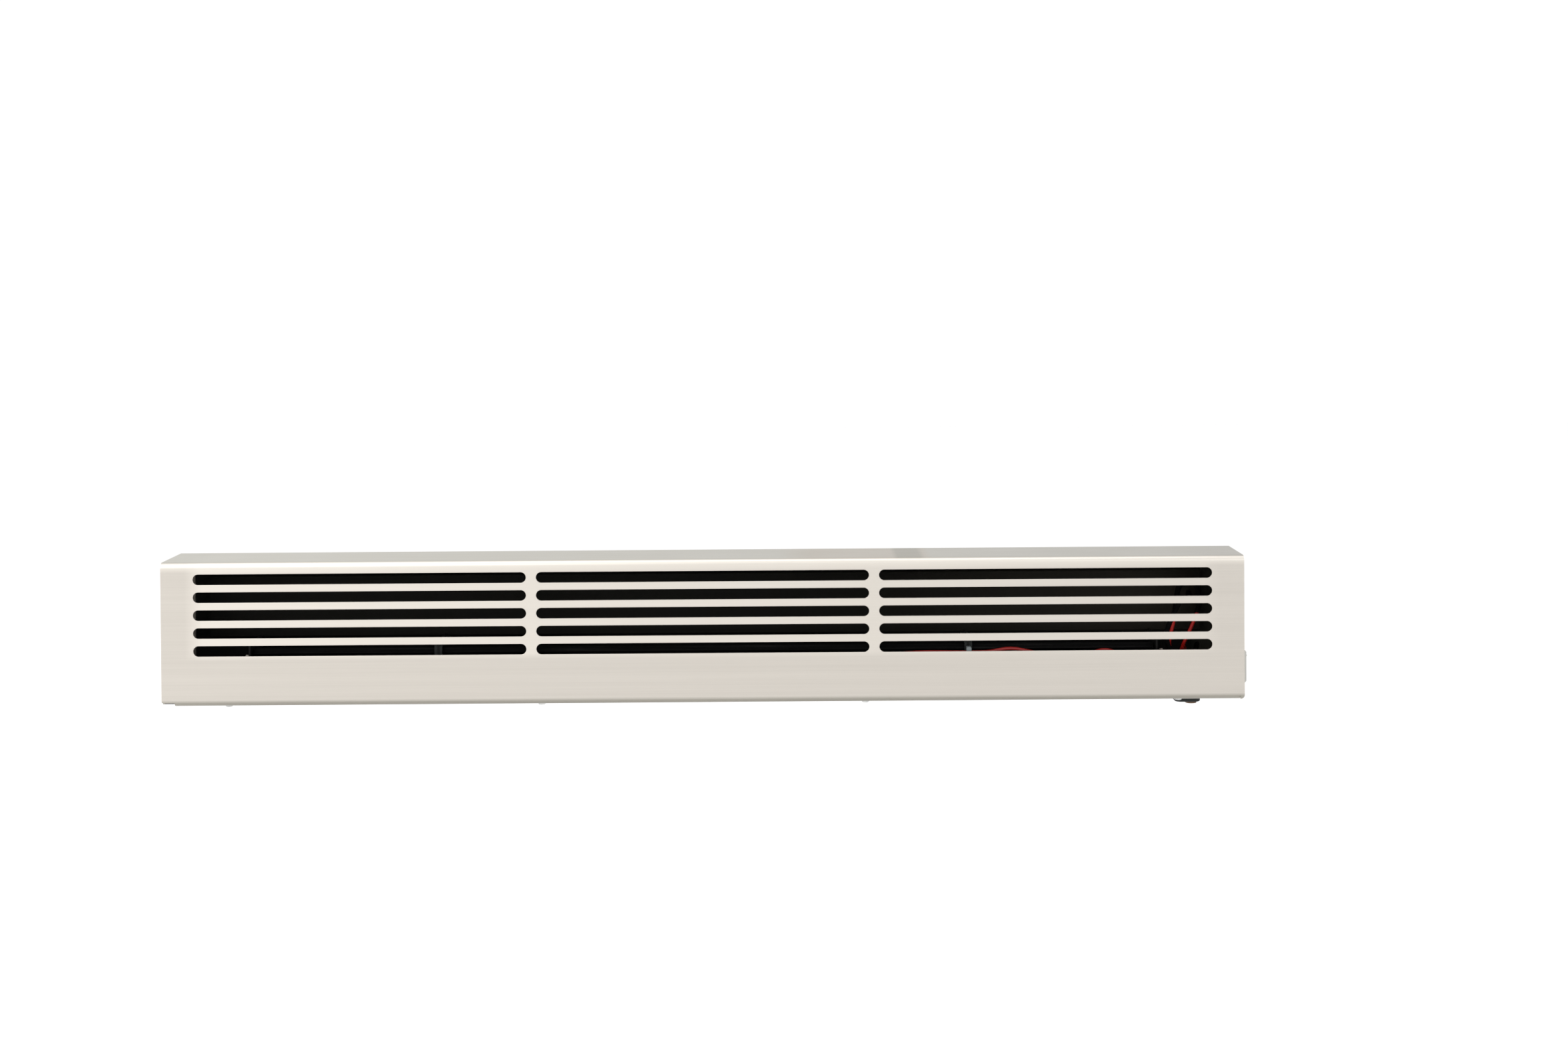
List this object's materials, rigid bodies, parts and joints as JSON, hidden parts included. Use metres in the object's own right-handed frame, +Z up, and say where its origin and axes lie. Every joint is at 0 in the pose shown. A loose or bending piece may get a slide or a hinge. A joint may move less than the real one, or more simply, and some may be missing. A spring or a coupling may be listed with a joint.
{
  "type": "baseboard heater",
  "caption": "Slim wall-fixed electric baseboard heater: brushed steel cover with rows of long slots over a finned element, with a rocker switch on one end.",
  "frame": {"origin": "centre of the back face, on the wall plane, half-way up the casing", "axes": "+X along the heater towards the switch, +Y into the wall, +Z up"},
  "size_m": [1.0046, 0.07, 0.1409],
  "materials": {
    "stainless": "fine horizontal brushing",
    "black_steel": "satin black",
    "dark_steel": "matt dark grey",
    "zinc": "zinc plated",
    "element": "black anodised extrusion",
    "sheath": "drawn tube",
    "ceramic": "unglazed white",
    "switch_grey": "fine moulded texture",
    "rocker_grey": "smooth",
    "brass": "plain",
    "black_plastic": "moulded",
    "brown_rubber": "matt",
    "white_plastic": "moulded",
    "clip_grey": "moulded",
    "black_sleeving": "braided sleeving",
    "red_insulation": "smooth silicone",
    "black_insulation": "smooth silicone",
    "earth_insulation": "green with a yellow stripe",
    "tin": "tin plated"
  },
  "bodies": {
    "root": {"front_cover": "stainless", "left_end_cap": "stainless", "right_end_cap": "stainless", "cover_hooks": "zinc", "cover_screws": "zinc", "end_cap_screws": "zinc", "chassis": "black_steel", "air_deflector": "dark_steel", "deflector_rivets": "dark_steel", "element_body": "element", "element_core": "sheath", "element_end_seals": "ceramic", "element_terminals": "tin", "element_bracket_1": "black_steel", "element_bracket_2": "black_steel", "element_bracket_3": "black_steel", "element_bracket_4": "black_steel", "bracket_bushes": "ceramic", "element_frames": "black_plastic", "bracket_screws": "zinc", "lead_clips": "clip_grey", "switch_bezel": "switch_grey", "switch_tabs": "tin", "cable_entry_flange": "black_plastic", "cable_entry_locknut": "black_plastic", "cable_entry_seal": "brown_rubber", "cable_clamp": "black_plastic", "clamp_screws": "zinc", "terminal_block": "white_plastic", "terminal_inserts": "brass", "terminal_screws": "zinc", "block_screws": "zinc", "cutout_cap": "tin", "cutout_body": "black_plastic", "cutout_tabs": "tin", "cutout_nuts": "zinc", "earth_ring": "tin", "earth_washer": "zinc", "earth_nut": "brass", "receptacles": "black_plastic", "element_lead": "red_insulation", "lead_sleeve": "black_sleeving", "feed_lead": "red_insulation", "switch_load_lead": "black_insulation", "switch_supply_lead": "black_insulation", "earth_lead": "earth_insulation"},
    "rocker": {"switch_rocker": "rocker_grey"}
  },
  "joints": [
    {"name": "rocker_tilt", "type": "hinge", "parent": "root", "child": "rocker", "pos_m": [0.497, -0.05, -0.0378], "axis": [0, 1, 0], "range_deg": [-16, 0]}
  ]
}
